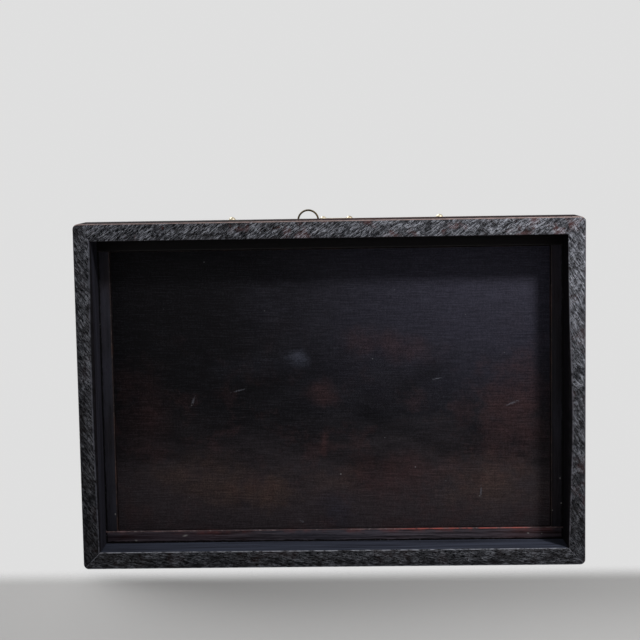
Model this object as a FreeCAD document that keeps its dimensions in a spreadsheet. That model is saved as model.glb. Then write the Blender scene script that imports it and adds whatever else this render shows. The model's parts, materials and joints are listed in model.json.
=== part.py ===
import FreeCAD, Part
import os

# A hardwood box for an ink stone and ink sticks, standing on a mitred plinth.
# X runs along the front from left to right, Y from the front to the back, Z up.
# The origin is at the foot of the plinth, under the middle of everything, so the box itself
# stands a little behind it, by half of what its front hardware stands out.

driving = (
    ("boxLength", 310.0, "plinth outside, left to right"),
    ("boxDepth", 214.0, "plinth outside, front to back"),
    ("plinthThick", 10.6, "thickness of a plinth board"),
    ("plinthCorner", 3.2, "rounding of the upright corners of the plinth"),
    ("recessDepth", 23.4, "from the foot of the plinth up to the bottom frame"),
    ("bottomFrameThick", 8.0, "thickness of the bottom rails and stiles"),
    ("bottomFrameShow", 7.6, "width of a bottom rail that shows inside the plinth"),
    ("bottomFrameSeat", 4.0, "width of a bottom rail that is let into the plinth"),
    ("panelDrop", 0.8, "face of the bottom panel above the face of its frame"),
    ("tongueWidth", 4.0, "tongue of a floating panel, in its groove"),
    ("tongueThick", 3.0, "thickness of that tongue"),
    ("tongueLift", 2.4, "tongue above the lower face of its frame"),
    ("panelPlay", 0.35, "room round a floating panel"),
    ("caseSetback", 4.0, "face of the case behind the face of the plinth"),
    ("caseThick", 9.0, "thickness of a case or lid board"),
    ("caseCorner", 2.4, "rounding of the upright corners of case and lid"),
    ("drawerStile", 38.0, "case front beside the drawer"),
    ("drawerHoleHeight", 26.0, "height of the drawer's opening, from the plinth up"),
    ("floorLift", 2.0, "compartment floor above the drawer's opening"),
    ("floorThick", 5.0, "thickness of the compartment floor"),
    ("floorSeat", 4.0, "depth of the grooves that hold the compartment floor"),
    ("wellDepth", 15.6, "from the compartment floor up to the top edge of the case"),
    ("drawerPlay", 0.4, "room round the drawer in its opening"),
    ("drawerRun", 0.3, "room under the drawer"),
    ("drawerProud", 1.2, "drawer front before the case front"),
    ("drawerLip", 2.5, "drawer front over the edge of its opening"),
    ("drawerRoom", 19.0, "room between the drawer and the back of the case"),
    ("drawerSideThick", 6.0, "thickness of the drawer's sides and back"),
    ("drawerSideDrop", 2.5, "drawer sides below the top of its opening"),
    ("drawerFloorThick", 4.0, "thickness of the drawer's bottom"),
    ("drawerFloorLift", 2.5, "drawer's bottom above the lower edge of its sides"),
    ("drawerGroove", 3.0, "depth of the grooves that hold the drawer's bottom"),
    ("guideWidth", 12.0, "width of a drawer guide"),
    ("guideHeight", 10.0, "height of a drawer guide"),
    ("dividerThick", 5.0, "thickness of the dividers"),
    ("dividerDrop", 3.0, "dividers below the top edge of the case"),
    ("stoneWellWidth", 182.0, "well for the ink stone, left to right"),
    ("stickWellDepth", 66.0, "well for the ink sticks, front to back"),
    ("lidGap", 0.4, "seam between case and lid"),
    ("lidHeight", 34.0, "height of the whole lid"),
    ("lidTopThick", 8.0, "thickness of the lid's rails and stiles"),
    ("lidRailWidth", 24.0, "width of the lid's rails and stiles"),
    ("lidPanelDrop", 1.0, "face of the lid's panel below the face of its rails"),
    ("hingeInset", 56.0, "middle of a hinge in from the end of the case"),
    ("leafWidth", 24.0, "hinge leaf along the box"),
    ("leafHeight", 13.0, "hinge leaf up or down from its knuckle"),
    ("leafThick", 0.8, "thickness of a hinge leaf"),
    ("knuckleRadius", 1.9, "outside of a hinge knuckle"),
    ("middleKnuckle", 8.0, "length of a hinge's middle knuckle"),
    ("knuckleGap", 0.2, "room beside and behind each knuckle"),
    ("hingePinRadius", 0.9, "pin of a hinge"),
    ("pinPlay", 0.05, "room round a pin in its knuckles"),
    ("pinHeadRadius", 1.4, "button at each end of a pin"),
    ("pinHeadLength", 0.6, "length of that button"),
    ("nailHeadRadius", 1.1, "head of a brass nail"),
    ("nailHeadRise", 0.5, "height of that head"),
    ("nailRadius", 0.5, "shank of a brass nail"),
    ("nailLength", 6.0, "shank of a brass nail, from its head"),
    ("nailInset", 3.2, "nail in from the edges of its plate"),
    ("brassMiddle", 4.0, "middle of the brass on the front, right of the middle of the box"),
    ("pullInset", 47.5, "ring pull in from the side of the drawer's opening, before that shift"),
    ("lockSpacing", 17.0, "between the two lock posts"),
    ("lockRise", 3.6, "lock posts above the compartment floor"),
    ("washerRadius", 4.75, "round plate under a post"),
    ("washerThick", 0.5, "thickness of that plate"),
    ("headRadius", 2.15, "domed head of a post"),
    ("headRise", 3.5, "height of that head above its plate"),
    ("domeRise", 1.5, "part of that height that is domed"),
    ("eyeRadius", 0.75, "hole across the head of a post"),
    ("eyeLift", 1.0, "middle of that hole above the plate"),
    ("shankRadius", 0.9, "shank of a post"),
    ("clinchLength", 7.0, "bent legs of a post behind the board"),
    ("clinchWidth", 1.6, "width of those legs"),
    ("clinchThick", 0.8, "thickness of those legs"),
    ("ringRadius", 5.6, "pull ring, to the middle of its wire"),
    ("ringWire", 0.45, "radius of that wire"),
    ("ringLift", 0.18, "top of the ring's wire above the middle of its eye"),
    ("haspLift", 4.5, "hasp pin above the seam"),
    ("haspWidth", 7.0, "width of the hasp"),
    ("haspThick", 0.8, "thickness of the hasp and its plate"),
    ("haspGap", 0.35, "room behind the hasp"),
    ("haspNeck", 5.4, "length of the hasp's own knuckle"),
    ("haspPlateWidth", 15.0, "width of the hasp's plate on the lid"),
    ("haspPlateHeight", 10.0, "height of that plate above its knuckles"),
    ("haspKnuckleRadius", 0.85, "outside of the hasp's knuckles"),
    ("haspPinRadius", 0.3, "pin of the hasp"),
    ("haspEyeRadius", 1.2, "outside of the eye at the foot of the hasp"),
    ("lockPinPlay", 0.08, "room round the locking pin in an eye"),
    ("lockPinStand", 1.0, "tip of the locking pin beside the eye of the hasp, at rest"),
    ("pinPointLength", 0.9, "tapered point of the locking pin"),
    ("bowRadius", 6.5, "bow of the locking pin, to the middle of its wire"),
    ("bowWire", 0.6, "radius of that wire"),
    ("bowGap", 1.0, "bow of the locking pin beside the head of its post"),
)

doc = FreeCAD.newDocument("inkBox")
sheet = doc.addObject("Spreadsheet::Sheet", "Size")
for row, (alias, value, note) in enumerate(driving, 1):
    sheet.set(f"A{row}", note)
    sheet.set(f"B{row}", str(value))
    sheet.setAlias(f"B{row}", alias)
doc.recompute()


class Term:
    # Ordinary arithmetic on sheet cells, written out as the text of an expression.
    def __init__(self, text):
        self.text = str(text)

    def __add__(self, other):
        return Term(f"({self.text} + {Term.of(other)})")

    def __radd__(self, other):
        return Term(f"({Term.of(other)} + {self.text})")

    def __sub__(self, other):
        return Term(f"({self.text} - {Term.of(other)})")

    def __rsub__(self, other):
        return Term(f"({Term.of(other)} - {self.text})")

    def __mul__(self, other):
        return Term(f"({self.text} * {Term.of(other)})")

    def __rmul__(self, other):
        return Term(f"({Term.of(other)} * {self.text})")

    def __truediv__(self, other):
        return Term(f"({self.text} / {Term.of(other)})")

    def __neg__(self):
        return Term(f"(-1 * {self.text})")

    @staticmethod
    def of(value):
        return value.text if isinstance(value, Term) else str(value)


class Sizes:
    def __getattr__(self, alias):
        return Term(f"Size.{alias}")


size = Sizes()
pieces = {}
frontReach = size.washerThick + size.eyeLift + size.bowRadius + size.bowWire - size.caseSetback
past = 1  # how far a cutting tool runs beyond the wood or brass that it cuts


def bind(thing, **properties):
    for name, value in properties.items():
        thing.setExpression(name, Term.of(value))
    return thing


def put(thing, x=0, y=0, z=0, axis=None, angle=0):
    for name, value in (("x", x), ("y", frontReach / 2 + y), ("z", z)):
        thing.setExpression(f".Placement.Base.{name}", Term.of(value))
    if axis:
        thing.Placement.Rotation = FreeCAD.Rotation(FreeCAD.Vector(*axis), angle)
    return thing


def keep(label, thing):
    thing.Label = label
    pieces[label] = thing
    return thing


def block(x, y, z):
    # A box from its low and high places along each axis.
    made = doc.addObject("Part::Box", "block")
    bind(made, Length=x[1] - x[0], Width=y[1] - y[0], Height=z[1] - z[0])
    return put(made, x[0], y[0], z[0])


def about(middle, width):
    return (middle - width / 2, middle + width / 2)


def both(half):
    return (-half, half)


turns = {"x": ((0, 1, 0), 90), "front": ((1, 0, 0), 90), "up": (None, 0)}


def rod(radius, length, along, x, y, z):
    # A round bar from its start: along X, out of the front, or up.
    made = doc.addObject("Part::Cylinder", "rod")
    bind(made, Radius=radius, Height=length)
    return put(made, x, y, z, *turns[along])


def ball(radius, x, y, z):
    made = bind(doc.addObject("Part::Sphere", "ball"), Radius=radius)
    return put(made, x, y, z)


def join(*parts):
    made = doc.addObject("Part::MultiFuse", "join")
    made.Shapes = list(parts)
    made.Refine = True
    return made


def cut(base, *tools):
    for tool in tools:
        made = doc.addObject("Part::Cut", "cut")
        made.Base, made.Tool = base, tool
        base = made
    return base


def shared(base, tool):
    made = doc.addObject("Part::Common", "shared")
    made.Base, made.Tool = base, tool
    return made


def group(*parts):
    made = doc.addObject("Part::Compound", "group")
    made.Links = list(parts)
    return made


sides = {"front": 0, "right": 90, "back": 180, "left": 270}


def mitredFrame(length, depth, thick, low, high):
    # Four boards on edge round a rectangle, cut at 45 degrees where they meet.
    made = {}
    for side, angle in sides.items():
        run, reach = (length, depth) if side in ("front", "back") else (depth, length)
        board = doc.addObject("Part::Wedge", "board")
        bind(board, Xmin=-run / 2, Xmax=run / 2, X2min=thick - run / 2, X2max=run / 2 - thick)
        bind(board, Ymin=-reach / 2, Ymax=thick - reach / 2)
        bind(board, Zmin=low, Zmax=high, Z2min=low, Z2max=high)
        made[side] = put(board, axis=(0, 0, 1), angle=angle)
    return made


def roundedPlan(length, depth, corner, low, high):
    # A block over the whole plan, with rounded upright corners.
    bars = [block(both(length / 2 - corner), both(depth / 2), (low, high))]
    bars.append(block(both(length / 2), both(depth / 2 - corner), (low, high)))
    for x in (corner - length / 2, length / 2 - corner):
        for y in (corner - depth / 2, depth / 2 - corner):
            bars.append(rod(corner, high - low, "up", x, y, low))
    return join(*bars)


def railsAndStiles(length, depth, width, low, high):
    # Rails run the whole length and the stiles stand between them.
    innerX, innerY = length / 2 - width, depth / 2 - width
    return {
        "rail_front": block(both(length / 2), (-depth / 2, -innerY), (low, high)),
        "rail_back": block(both(length / 2), (innerY, depth / 2), (low, high)),
        "stile_left": block((-length / 2, -innerX), both(innerY), (low, high)),
        "stile_right": block((innerX, length / 2), both(innerY), (low, high)),
    }


# Plinth and the bottom that shows in its recess
plinthTop = size.recessDepth + size.bottomFrameThick
innerLength = size.boxLength - 2 * size.plinthThick
innerDepth = size.boxDepth - 2 * size.plinthThick
frameLength = innerLength + 2 * size.bottomFrameSeat
frameDepth = innerDepth + 2 * size.bottomFrameSeat
holeLength = innerLength - 2 * size.bottomFrameShow
holeDepth = innerDepth - 2 * size.bottomFrameShow

frameSeat = block(both(frameLength / 2), both(frameDepth / 2), (size.recessDepth, plinthTop + past))
plinthPlan = roundedPlan(size.boxLength, size.boxDepth, size.plinthCorner, Term(0), plinthTop)
plinth = mitredFrame(size.boxLength, size.boxDepth, size.plinthThick, Term(0), plinthTop)
for side, board in plinth.items():
    keep(f"plinth_{side}", cut(shared(board, plinthPlan), frameSeat))


def floatingPanel(length, depth, low, high, tongueLow):
    # A panel that fills an opening but for a hairline, with a tongue all round.
    field = block(both(length / 2 - size.panelPlay), both(depth / 2 - size.panelPlay), (low, high))
    reachX, reachY = length / 2 + size.tongueWidth, depth / 2 + size.tongueWidth
    level = (tongueLow, tongueLow + size.tongueThick)
    tongue = block(both(reachX), both(reachY), level)
    groove = block(both(reachX + size.panelPlay), both(reachY + size.panelPlay), level)
    return join(field, tongue), groove


tongueLow = size.recessDepth + size.tongueLift
panel, groove = floatingPanel(holeLength, holeDepth, size.recessDepth + size.panelDrop, plinthTop, tongueLow)
keep("bottom_panel", panel)
frameWidth = size.bottomFrameShow + size.bottomFrameSeat
bottomFrame = railsAndStiles(frameLength, frameDepth, frameWidth, size.recessDepth, plinthTop)
for name, member in bottomFrame.items():
    keep(f"bottom_{name}", cut(member, groove))

# Case, from the plinth up: the drawer's opening, the compartment floor and the wells
caseLength = size.boxLength - 2 * size.caseSetback
caseDepth = size.boxDepth - 2 * size.caseSetback
insideLength = caseLength - 2 * size.caseThick
insideDepth = caseDepth - 2 * size.caseThick
drawerWidth = caseLength - 2 * size.drawerStile
drawerTop = plinthTop + size.drawerHoleHeight
floorLow = drawerTop + size.floorLift
floorTop = floorLow + size.floorThick
seamHeight = floorTop + size.wellDepth
backFace = caseDepth / 2
frontFace = -backFace


# Brass nails: a head on the outside of a board and a shank into it
def nail(x, y, z, inward):
    # inward is +1 where the shank runs to the back and -1 where it runs to the front.
    start = y if inward < 0 else y + size.nailLength
    headStart = y + size.nailHeadRise if inward < 0 else y
    shank = rod(size.nailRadius, size.nailLength, "front", x, start, z)
    head = rod(size.nailHeadRadius, size.nailHeadRise, "front", x, headStart, z)
    return join(shank, head)


# Two hinges on the back, with their pins in line
seamMiddle = seamHeight + size.lidGap / 2
hingeY = backFace + size.knuckleGap + size.knuckleRadius
sideKnuckle = (size.leafWidth - size.middleKnuckle) / 2 - size.knuckleGap


def knuckle(x, z, towards, length):
    # A barrel from x, with a tab that ties it to its leaf below (-1) or above (+1).
    reach = size.knuckleRadius + 2 * size.knuckleGap
    level = (z - reach, z) if towards < 0 else (z, z + reach)
    tab = block((x, x + length), (backFace, backFace + size.leafThick), level)
    bore = rod(size.hingePinRadius + size.pinPlay, length + 2 * past, "x", x - past, hingeY, z)
    return join(rod(size.knuckleRadius, length, "x", x, hingeY, z), tab), bore


def leaf(middle, towards, barrels, nails):
    near = size.knuckleRadius + size.knuckleGap
    far = near + size.leafHeight
    level = (seamMiddle - far, seamMiddle - near) if towards < 0 else (seamMiddle + near, seamMiddle + far)
    plate = block(about(middle, size.leafWidth), (backFace, backFace + size.leafThick), level)
    made = [knuckle(x, seamMiddle, towards, length) for x, length in barrels]
    return cut(join(plate, *[barrel for barrel, bore in made]), *[bore for barrel, bore in made], *nails)


caseNails, lidNails = [], []
leafMiddleZ = size.knuckleRadius + size.knuckleGap + size.leafHeight / 2
nailY = backFace + size.leafThick
for side, sign in (("left", -1), ("right", 1)):
    middle = sign * (caseLength / 2 - size.hingeInset)
    nails = {}
    for towards, stock in ((-1, caseNails), (1, lidNails)):
        z = seamMiddle + towards * leafMiddleZ
        nails[towards] = []
        for across in (-1, 1):
            for up in (-1, 1):
                nailX = middle + across * (size.leafWidth / 2 - size.nailInset)
                nailZ = z + up * (size.leafHeight / 2 - size.nailInset)
                nails[towards].append(nail(nailX, nailY, nailZ, -1))
        stock.extend(nails[towards])
    outer = middle - size.leafWidth / 2
    inner = middle + size.middleKnuckle / 2 + size.knuckleGap
    caseBarrels = ((outer, sideKnuckle), (inner, sideKnuckle))
    keep(f"hinge_case_leaf_{side}", leaf(middle, -1, caseBarrels, nails[-1]))
    lidBarrels = ((middle - size.middleKnuckle / 2, size.middleKnuckle),)
    keep(f"hinge_lid_leaf_{side}", leaf(middle, 1, lidBarrels, nails[1]))
    pin = rod(size.hingePinRadius, size.leafWidth, "x", outer, hingeY, seamMiddle)
    left = rod(size.pinHeadRadius, size.pinHeadLength, "x", outer - size.pinHeadLength, hingeY, seamMiddle)
    right = rod(size.pinHeadRadius, size.pinHeadLength, "x", outer + size.leafWidth, hingeY, seamMiddle)
    keep(f"hinge_pin_{side}", join(pin, left, right))
caseNailGroup = keep("hinge_nails_case", group(*caseNails))
lidNailGroup = keep("hinge_nails_lid", group(*lidNails))

# Posts: a domed head with an eye across it, a shank through the board and two bent legs
dome = (size.headRadius * size.headRadius + size.domeRise * size.domeRise) / (2 * size.domeRise)


def post(x, face, z, boardThick):
    plateFace = face - size.washerThick
    rounding = ball(dome, x, plateFace - size.headRise + dome, z)
    head = shared(rod(size.headRadius, size.headRise, "front", x, plateFace, z), rounding)
    shankLength = size.washerThick + boardThick
    shank = rod(size.shankRadius, shankLength, "front", x, face + boardThick, z)
    legs = block(
        about(x, size.clinchLength),
        (face + boardThick, face + boardThick + size.clinchThick),
        about(z, size.clinchWidth),
    )
    eyeY = plateFace - size.eyeLift
    reach = size.headRadius + past
    eye = rod(size.eyeRadius, 2 * reach, "x", x - reach, eyeY, z)
    return cut(join(head, shank, legs), eye), shank


def washer(x, face, z, shank):
    return cut(rod(size.washerRadius, size.washerThick, "front", x, face, z), shank)


# Case boards and what lies between them
floorReachX = insideLength / 2 + size.floorSeat
floorReachY = insideDepth / 2 + size.floorSeat

floor = keep("compartment_floor", block(both(floorReachX), both(floorReachY), (floorLow, floorTop)))
lockZ = floorTop + size.lockRise
lockShanks = []
for side, sign in (("left", -1), ("right", 1)):
    x = size.brassMiddle + sign * size.lockSpacing / 2
    made, shank = post(x, frontFace, lockZ, size.caseThick)
    keep(f"lock_post_{side}", made)
    keep(f"lock_washer_{side}", washer(x, frontFace, lockZ, shank))
    lockShanks.append(shank)

casePlan = roundedPlan(caseLength, caseDepth, size.caseCorner, plinthTop, seamHeight)
case = mitredFrame(caseLength, caseDepth, size.caseThick, plinthTop, seamHeight)
drawerHole = block(
    both(drawerWidth / 2),
    (frontFace - past, frontFace + size.caseThick + past),
    (plinthTop - past, drawerTop),
)
caseTools = {"front": [drawerHole, *lockShanks], "back": [caseNailGroup]}
for side, board in case.items():
    keep(f"case_{side}", cut(shared(board, casePlan), floor, *caseTools.get(side, [])))

guideX = drawerWidth / 2
guideY = both(insideDepth / 2)
guideZ = (plinthTop, plinthTop + size.guideHeight)
keep("drawer_guide_left", block((-guideX - size.guideWidth, -guideX), guideY, guideZ))
keep("drawer_guide_right", block((guideX, guideX + size.guideWidth), guideY, guideZ))

dividerZ = (floorTop, seamHeight - size.dividerDrop)
dividerX = size.stoneWellWidth - insideLength / 2
keep("stone_divider", block((dividerX, dividerX + size.dividerThick), both(insideDepth / 2), dividerZ))
stickY = size.stickWellDepth - insideDepth / 2
keep("stick_divider", block(
    (dividerX + size.dividerThick, insideLength / 2),
    (stickY, stickY + size.dividerThick),
    dividerZ,
))

# Drawer: the front laps its opening on three sides and stops against the case
bodyX = drawerWidth / 2 - size.drawerPlay
drawerLow = plinthTop + size.drawerRun
frontTop = drawerTop - size.drawerPlay
frontInside = frontFace + size.caseThick
sideTop = drawerTop - size.drawerSideDrop
drawerBack = insideDepth / 2 - size.drawerRoom
drawerFloorLow = drawerLow + size.drawerFloorLift
drawerFloorTop = drawerFloorLow + size.drawerFloorThick
clearX = bodyX - size.drawerSideThick

drawerFloor = keep("drawer_bottom", block(
    both(clearX + size.drawerGroove),
    (frontInside - size.drawerGroove, drawerBack),
    (drawerFloorLow, drawerFloorTop),
))
pullZ = plinthTop + size.drawerHoleHeight / 2
pullFace = frontFace - size.drawerProud
frontThick = size.caseThick + size.drawerProud
pullShanks = []
for side, sign in (("left", -1), ("right", 1)):
    x = size.brassMiddle + sign * (drawerWidth / 2 - size.pullInset)
    made, shank = post(x, pullFace, pullZ, frontThick)
    keep(f"pull_post_{side}", made)
    keep(f"pull_washer_{side}", washer(x, pullFace, pullZ, shank))
    pullShanks.append(shank)
    ring = bind(doc.addObject("Part::Torus", "ring"), Radius1=size.ringRadius, Radius2=size.ringWire)
    ringY = pullFace - size.washerThick - size.eyeLift
    keep(f"pull_ring_{side}", put(ring, x, ringY, pullZ + size.ringLift - size.ringRadius, (1, 0, 0), 90))

plug = block(both(bodyX), (frontFace - size.drawerProud, frontInside), (drawerLow, frontTop))
lip = block(
    both(drawerWidth / 2 + size.drawerLip),
    (frontFace - size.drawerProud, frontFace),
    (drawerLow, drawerTop + size.drawerLip),
)
keep("drawer_front", cut(join(plug, lip), drawerFloor, *pullShanks))
left = block((-bodyX, -clearX), (frontInside, drawerBack), (drawerLow, sideTop))
right = block((clearX, bodyX), (frontInside, drawerBack), (drawerLow, sideTop))
keep("drawer_side_left", cut(left, drawerFloor))
keep("drawer_side_right", cut(right, drawerFloor))
keep("drawer_back", block(
    both(clearX),
    (drawerBack - size.drawerSideThick, drawerBack),
    (drawerFloorTop, sideTop),
))

# Lid: four boards, and a frame with a floating panel on top of them
lidLow = seamHeight + size.lidGap
lidTop = seamHeight + size.lidHeight
railLow = lidTop - size.lidTopThick
haspZ = lidLow + size.haspLift
haspY = frontFace - size.haspGap - size.haspKnuckleRadius
plateLow = haspZ + size.haspKnuckleRadius + size.knuckleGap
plateHigh = plateLow + size.haspPlateHeight

haspNails = []
for across in (-1, 1):
    nailX = size.brassMiddle + across * (size.haspPlateWidth / 2 - size.nailInset)
    nailZ = plateHigh - size.nailInset
    haspNails.append(nail(nailX, frontFace - size.haspThick, nailZ, 1))
haspNailGroup = keep("hasp_nails", group(*haspNails))

lidPlan = roundedPlan(caseLength, caseDepth, size.caseCorner, lidLow, lidTop)
lid = mitredFrame(caseLength, caseDepth, size.caseThick, lidLow, railLow)
lidTools = {"front": [haspNailGroup], "back": [lidNailGroup]}
for side, board in lid.items():
    keep(f"lid_{side}", cut(shared(board, lidPlan), *lidTools.get(side, [])))

lidHoleLength = caseLength - 2 * size.lidRailWidth
lidHoleDepth = caseDepth - 2 * size.lidRailWidth
lidTongueLow = railLow + size.tongueLift
panel, groove = floatingPanel(lidHoleLength, lidHoleDepth, railLow, lidTop - size.lidPanelDrop, lidTongueLow)
keep("lid_panel", panel)
lidFrame = mitredFrame(caseLength, caseDepth, size.lidRailWidth, railLow, lidTop)
members = {"front": "rail_front", "back": "rail_back", "left": "stile_left", "right": "stile_right"}
for side, board in lidFrame.items():
    keep(f"lid_{members[side]}", cut(shared(board, lidPlan), groove))

# Hasp: a plate nailed to the lid, and a tongue that hangs between the lock posts
haspLeft, haspRight = about(size.brassMiddle, size.haspPlateWidth)
haspBoreRadius = size.haspPinRadius + size.pinPlay
haspBore = rod(haspBoreRadius, size.haspPlateWidth + 2 * past, "x", haspLeft - past, haspY, haspZ)
earLength = (size.haspPlateWidth - size.haspNeck) / 2 - size.knuckleGap
ears = []
for start in (haspLeft, haspRight - earLength):
    ears.append(rod(size.haspKnuckleRadius, earLength, "x", start, haspY, haspZ))
    ears.append(block((start, start + earLength), (frontFace - size.haspThick, frontFace), (haspZ, plateLow)))
plate = block((haspLeft, haspRight), (frontFace - size.haspThick, frontFace), (plateLow, plateHigh))
keep("hasp_plate", cut(join(plate, *ears), haspBore, haspNailGroup))

keep("hasp_pin", rod(size.haspPinRadius, size.haspPlateWidth, "x", haspLeft, haspY, haspZ))

eyeY = frontFace - size.washerThick - size.eyeLift
bladeY = (frontFace - size.haspGap - size.haspThick, frontFace - size.haspGap)
bladeTop = haspZ - size.haspKnuckleRadius - size.knuckleGap
neckX = about(size.brassMiddle, size.haspNeck)
bladeX = about(size.brassMiddle, size.haspWidth)
neck = block(neckX, bladeY, (bladeTop, haspZ))
blade = block(bladeX, bladeY, (lockZ, bladeTop))
haspKnuckle = rod(size.haspKnuckleRadius, size.haspNeck, "x", neckX[0], haspY, haspZ)
haspEye = rod(size.haspEyeRadius, size.haspWidth, "x", bladeX[0], eyeY, lockZ)
lockBore = rod(size.eyeRadius, size.haspWidth + 2 * past, "x", bladeX[0] - past, eyeY, lockZ)
keep("hasp", cut(join(neck, blade, haspKnuckle, haspEye), haspBore, lockBore))

# Locking pin, parked in the left post's eye, with a bow of the same wire as its handle
pinRadius = size.eyeRadius - size.lockPinPlay
pinTip = bladeX[0] - size.lockPinStand
bowRight = size.brassMiddle - size.lockSpacing / 2 - size.headRadius - size.bowGap
bowMiddle = bowRight - size.bowRadius
bowLeft = bowMiddle - size.bowRadius
bow = doc.addObject("Part::Torus", "bow")
bind(bow, Radius1=size.bowRadius, Radius2=size.bowWire)
bow.Angle3 = 180
put(bow, bowMiddle, eyeY, lockZ, (0, 0, 1), 180)
shaftStart = bowLeft - pinRadius
point = doc.addObject("Part::Cone", "point")
bind(point, Radius1=pinRadius, Radius2=pinRadius / 2, Height=size.pinPointLength)
put(point, pinTip - size.pinPointLength, eyeY, lockZ, *turns["x"])
shaft = rod(pinRadius, pinTip - size.pinPointLength - shaftStart, "x", shaftStart, eyeY, lockZ)
keep("locking_pin", join(shaft, point, bow))

doc.recompute()
for thing in doc.Objects:
    if "Invalid" in thing.State or "Error" in thing.State:
        raise RuntimeError(f"{thing.Label} ({thing.Name}) failed: {thing.State}")
for label, thing in pieces.items():
    if thing.Shape.isNull() or not thing.Shape.isValid() or not thing.Shape.Solids:
        raise RuntimeError(f"{label} has no valid solid")

os.makedirs("parts", exist_ok=True)
for label, thing in pieces.items():
    thing.Shape.exportStep(os.path.join("parts", f"{label}.step"))
    print(f"{label}: {len(thing.Shape.Solids)} solid, {thing.Shape.Volume:.1f} mm3")
print(len(pieces), "nodes")
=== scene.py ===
import json
import math

import bmesh
import bpy
from mathutils import Matrix, Vector, noise


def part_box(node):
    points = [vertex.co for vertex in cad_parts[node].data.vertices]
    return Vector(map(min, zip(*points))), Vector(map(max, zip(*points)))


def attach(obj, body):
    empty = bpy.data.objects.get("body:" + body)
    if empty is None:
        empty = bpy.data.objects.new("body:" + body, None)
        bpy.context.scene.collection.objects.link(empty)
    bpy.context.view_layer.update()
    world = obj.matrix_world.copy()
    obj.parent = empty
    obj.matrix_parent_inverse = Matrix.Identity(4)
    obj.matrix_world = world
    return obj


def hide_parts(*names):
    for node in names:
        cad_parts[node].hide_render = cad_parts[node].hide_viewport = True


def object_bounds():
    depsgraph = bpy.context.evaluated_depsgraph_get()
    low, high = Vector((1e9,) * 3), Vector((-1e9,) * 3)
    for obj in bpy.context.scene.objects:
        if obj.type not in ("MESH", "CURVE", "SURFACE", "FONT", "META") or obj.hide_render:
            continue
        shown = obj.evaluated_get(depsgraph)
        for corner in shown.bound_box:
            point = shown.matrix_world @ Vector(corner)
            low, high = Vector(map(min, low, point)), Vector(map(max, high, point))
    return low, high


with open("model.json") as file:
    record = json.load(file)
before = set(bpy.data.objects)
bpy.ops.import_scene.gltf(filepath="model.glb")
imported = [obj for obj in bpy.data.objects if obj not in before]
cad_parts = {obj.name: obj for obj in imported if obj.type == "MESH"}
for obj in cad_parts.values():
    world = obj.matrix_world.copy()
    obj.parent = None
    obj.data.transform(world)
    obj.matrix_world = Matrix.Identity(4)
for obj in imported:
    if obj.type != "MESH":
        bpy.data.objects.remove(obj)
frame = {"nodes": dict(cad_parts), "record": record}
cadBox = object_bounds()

mm = 0.001
sharp = math.radians(30)       # edges sharper than this are rounded
near = 0.05 * mm               # how close to a plane a point has to be to lie on it
touch = 0.01 * mm              # and to lie in an end or in the foot
record = frame["record"]
bodyOf = {node: body for body, nodes in record["behaviour"]["bodies"].items() for node in nodes}
slotOf = {part["node"]: part["material_slot"] for part in record["subparts"]}
print("frame loaded:", len(frame["nodes"]), "nodes")


def tone(red, green, blue):
    # A colour as it is seen on screen, 0 to 255, turned into the shader's own scale
    def linear(value):
        share = value / 255
        return share / 12.92 if share <= 0.04045 else ((share + 0.055) / 1.055) ** 2.4
    return (linear(red), linear(green), linear(blue), 1)


class Strand:
    # One output of a shader node, with ordinary arithmetic
    def __init__(self, tree, plug=None):
        self.tree = tree
        self.plug = plug

    def node(self, kind, settings, sockets, output=0):
        made = self.tree.nodes.new(kind)
        for name, value in settings.items():
            setattr(made, name, value)
        for name, value in sockets.items():
            if isinstance(value, Strand):
                self.tree.links.new(value.plug, made.inputs[name])
            else:
                made.inputs[name].default_value = value
        return Strand(self.tree, made.outputs[output]) if made.outputs else None

    def math(self, operation, first, second):
        return self.node("ShaderNodeMath", {"operation": operation}, {0: first, 1: second})

    def __add__(self, other):
        return self.math("ADD", self, other)

    def __radd__(self, other):
        return self.math("ADD", other, self)

    def __sub__(self, other):
        return self.math("SUBTRACT", self, other)

    def __rsub__(self, other):
        return self.math("SUBTRACT", other, self)

    def __mul__(self, other):
        return self.math("MULTIPLY", self, other)

    def __rmul__(self, other):
        return self.math("MULTIPLY", other, self)

    def most(self, other):
        return self.math("MAXIMUM", self, other)

    def least(self, other):
        return self.math("MINIMUM", self, other)

    def absolute(self):
        return self.node("ShaderNodeMath", {"operation": "ABSOLUTE"}, {0: self})

    def between(self, low, high):
        # 0 below low and 1 above high, or the other way round where low is the larger
        settings = {"interpolation_type": "SMOOTHSTEP"}
        return self.node("ShaderNodeMapRange", settings, {"Value": self, "From Min": low, "From Max": high})

    def stretched(self, turn, size, shift=(0, 0, 0)):
        # Coordinates turned by an angle, with one unit as long as each size
        sockets = {"Vector": self, "Location": shift, "Rotation": turn, "Scale": size}
        return self.node("ShaderNodeMapping", {"vector_type": "TEXTURE"}, sockets)

    def moved(self, shift):
        return self.stretched((0, 0, 0), (1, 1, 1), shift)

    def clouds(self, size=1, detail=3, roughness=0.5, bend=0.0):
        sockets = {"Vector": self, "Scale": 1 / size, "Detail": detail, "Roughness": roughness}
        return self.node("ShaderNodeTexNoise", {}, dict(sockets, Distortion=bend))

    def axis(self, name):
        return self.node("ShaderNodeSeparateXYZ", {}, {0: self}, name)

    def length(self):
        return self.node("ShaderNodeVectorMath", {"operation": "LENGTH"}, {0: self}, "Value")


def blended(amount, first, second):
    # The Mix node's colours are its inputs 6 and 7 and its output 2
    return amount.node("ShaderNodeMix", {"data_type": "RGBA"}, {0: amount, 6: first, 7: second}, 2)


def newFinish(name):
    # An empty material, and the object coordinates that its patterns follow
    finish = bpy.data.materials.new(name)
    finish.use_nodes = True
    finish.node_tree.nodes.clear()
    start = Strand(finish.node_tree)
    return finish, start.node("ShaderNodeTexCoord", {}, {}, "Object")


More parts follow.
